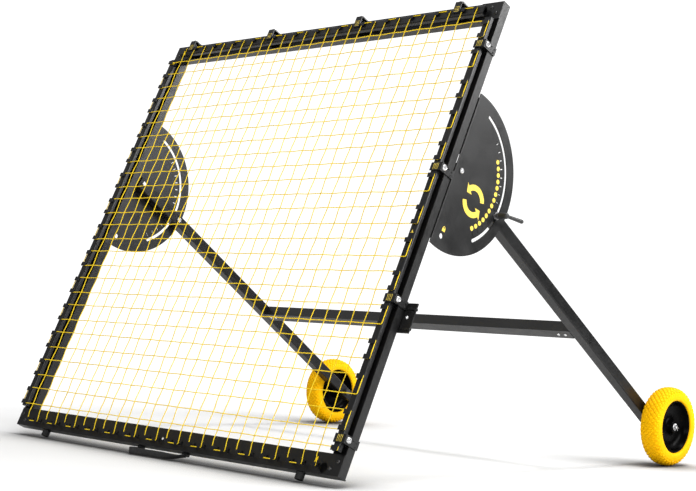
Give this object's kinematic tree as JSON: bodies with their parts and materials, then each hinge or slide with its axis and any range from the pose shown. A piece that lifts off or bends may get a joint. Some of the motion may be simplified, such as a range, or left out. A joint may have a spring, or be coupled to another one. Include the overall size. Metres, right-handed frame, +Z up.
{
  "type": "wheeled ball rebounder",
  "caption": "Tilting square ball rebounder: a steel frame strung with a net, slotted locking discs at its sides, and a swinging leg frame on two wheels.",
  "frame": {"origin": "on the floor, below the middle of the object as it stands", "axes": "+X to the right of a person standing behind the net and looking out through it towards -Y; the net faces -Y and upwards; +Z is up"},
  "size_m": [1.365, 1.4086, 1.1738],
  "materials": {
    "black_steel": "satin",
    "zinc_steel": "satin",
    "yellow_tyre": "matte",
    "black_plastic": "satin",
    "yellow_cord": "matte",
    "black_rubber": "matte",
    "black_webbing": "matte"
  },
  "bodies": {
    "frame": {"bottom_channel": "black_steel", "carry_strap": "black_webbing", "corner_screws": "zinc_steel", "disc_bolts": "zinc_steel", "left_disc": "black_steel", "left_foot": "black_rubber", "left_pivot_bolt": "zinc_steel", "left_post": "black_steel", "left_rail": "black_steel", "left_rail_supports": "black_steel", "left_side_bracket": "black_steel", "net": "yellow_cord", "right_disc": "black_steel", "right_foot": "black_rubber", "right_pivot_bolt": "zinc_steel", "right_post": "black_steel", "right_rail_supports": "black_steel", "right_side_bracket": "black_steel", "side_bracket_bolts": "zinc_steel", "side_tension_bolts": "zinc_steel", "side_tensioner_1": "black_steel", "side_tensioner_2": "black_steel", "side_tensioner_3": "black_steel", "side_tensioner_4": "black_steel", "side_tensioner_rivets": "zinc_steel", "strap_anchors": "black_steel", "top_channel": "black_steel", "top_left_corner_plate": "black_steel", "top_rail_supports": "black_steel", "top_right_corner_plate": "black_steel", "top_tension_bolts": "zinc_steel", "top_tensioner_1": "black_steel", "top_tensioner_2": "black_steel", "top_tensioner_3": "black_steel", "top_tensioner_4": "black_steel"},
    "left_wheel": {"left_tyre": "yellow_tyre", "left_hub": "black_plastic"},
    "right_wheel": {"right_tyre": "yellow_tyre", "right_hub": "black_plastic"},
    "left_lever": {"left_lock_lever": "black_plastic"},
    "right_lever": {"right_lock_lever": "black_plastic"},
    "tension_rail_top": {"top_rail": "black_steel"},
    "tension_rail_right": {"right_rail": "black_steel"},
    "legs": {"left_leg": "black_steel", "right_leg": "black_steel", "cross_bar": "black_steel", "left_bar_socket": "black_steel", "right_bar_socket": "black_steel", "left_bar_spigot": "black_steel", "right_bar_spigot": "black_steel", "bar_screws": "zinc_steel", "left_axle": "zinc_steel", "right_axle": "zinc_steel", "left_axle_nut": "zinc_steel", "right_axle_nut": "zinc_steel", "left_lock_stud": "zinc_steel", "right_lock_stud": "zinc_steel", "left_lock_washer": "zinc_steel", "right_lock_washer": "zinc_steel"}
  },
  "joints": [
    {"name": "leg_tilt", "type": "hinge", "parent": "frame", "child": "legs", "pos_m": [0, -0.31838, 0.72838], "axis": [1, 0, 0], "range_deg": [-37.37, 88.73]},
    {"name": "left_wheel_spin", "type": "hinge", "parent": "legs", "child": "left_wheel", "pos_m": [-0.6535, 0.5955, 0.109], "axis": [1, 0, 0], "continuous": true},
    {"name": "right_wheel_spin", "type": "hinge", "parent": "legs", "child": "right_wheel", "pos_m": [0.6535, 0.5955, 0.109], "axis": [1, 0, 0], "continuous": true},
    {"name": "left_lever_turn", "type": "hinge", "parent": "legs", "child": "left_lever", "pos_m": [-0.641, -0.17724, 0.63273], "axis": [1, 0, 0], "range_deg": [-120, 0]},
    {"name": "right_lever_turn", "type": "hinge", "parent": "legs", "child": "right_lever", "pos_m": [0.641, -0.17724, 0.63273], "axis": [1, 0, 0], "range_deg": [0, 120]},
    {"name": "top_rail_tension", "type": "slide", "parent": "frame", "child": "tension_rail_top", "axis": [0, 0.4067, 0.9135], "range_m": [0, 0.006]},
    {"name": "right_rail_tension", "type": "slide", "parent": "frame", "child": "tension_rail_right", "axis": [1, 0, 0], "range_m": [0, 0.006]}
  ]
}
